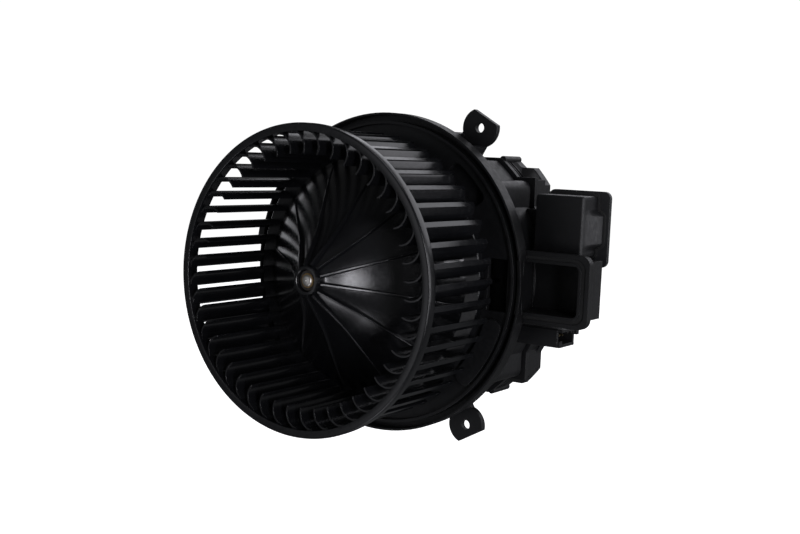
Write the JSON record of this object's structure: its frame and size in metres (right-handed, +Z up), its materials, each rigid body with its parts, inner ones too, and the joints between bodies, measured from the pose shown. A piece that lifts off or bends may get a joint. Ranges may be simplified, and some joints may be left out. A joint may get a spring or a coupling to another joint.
{
  "type": "blower motor wheel",
  "caption": "Car cabin blower: squirrel-cage wheel on a motor, in a carrier with screw ears, rear cover, cooling duct and speed regulator.",
  "frame": {"origin": "centre of the screw ears' bolt circle on the ears' front face, on the wheel's axis", "axes": "+Y along the wheel's axis from the inlet to the rear cover, +Z up, +X to the side with the cooling duct"},
  "size_m": [0.21, 0.1279, 0.1724],
  "materials": {
    "wheel_plastic": "satin moulded",
    "housing_plastic": "satin moulded",
    "card_plastic": "matte moulded",
    "lid_metal": "satin black coat",
    "heat_sink": "as cast",
    "foam": "closed-cell foam",
    "screw_steel": "zinc plated",
    "can_steel": "drawn and plated",
    "shaft_steel": "ground",
    "core_steel": "stacked sheets",
    "board": "circuit board",
    "component_black": "moulded",
    "component_metal": "drawn can",
    "contact_metal": "plated",
    "bearing_metal": "sintered bronze",
    "magnet": "ferrite",
    "carbon": "pressed carbon",
    "rubber": "matte",
    "copper": "copper"
  },
  "bodies": {
    "housing": {"carrier_flange": "housing_plastic", "carrier_drum": "housing_plastic", "motor_sleeve": "housing_plastic", "screw_ears": "housing_plastic", "rear_cover": "housing_plastic", "cooling_duct": "housing_plastic", "duct_seal": "foam", "regulator_housing": "housing_plastic", "regulator_lid": "lid_metal", "regulator_screws": "screw_steel", "regulator_heat_sink": "heat_sink", "regulator_board": "board", "regulator_transistors": "component_black", "regulator_capacitor": "component_metal", "regulator_choke": "component_black", "connector_housing": "housing_plastic", "connector_terminals": "contact_metal", "motor_can": "can_steel", "motor_end_cap": "can_steel", "front_bearing": "bearing_metal", "rear_bearing": "bearing_metal", "field_magnets": "magnet", "carbon_brushes": "carbon", "brush_springs": "screw_steel", "brush_card": "card_plastic", "motor_terminals": "contact_metal", "front_isolator": "rubber", "rear_isolator": "rubber", "motor_retainer": "can_steel", "motor_screws": "screw_steel"},
    "fan": {"wheel_hub": "wheel_plastic", "wheel_blades": "wheel_plastic", "wheel_front_ring": "wheel_plastic", "motor_shaft": "shaft_steel", "wheel_clip": "screw_steel", "armature_core": "core_steel", "armature_windings": "copper", "commutator": "copper"}
  },
  "joints": [
    {"name": "fan_spin", "type": "hinge", "parent": "housing", "child": "fan", "pos_m": [0, 0, 0], "axis": [0, -1, 0], "continuous": true}
  ]
}
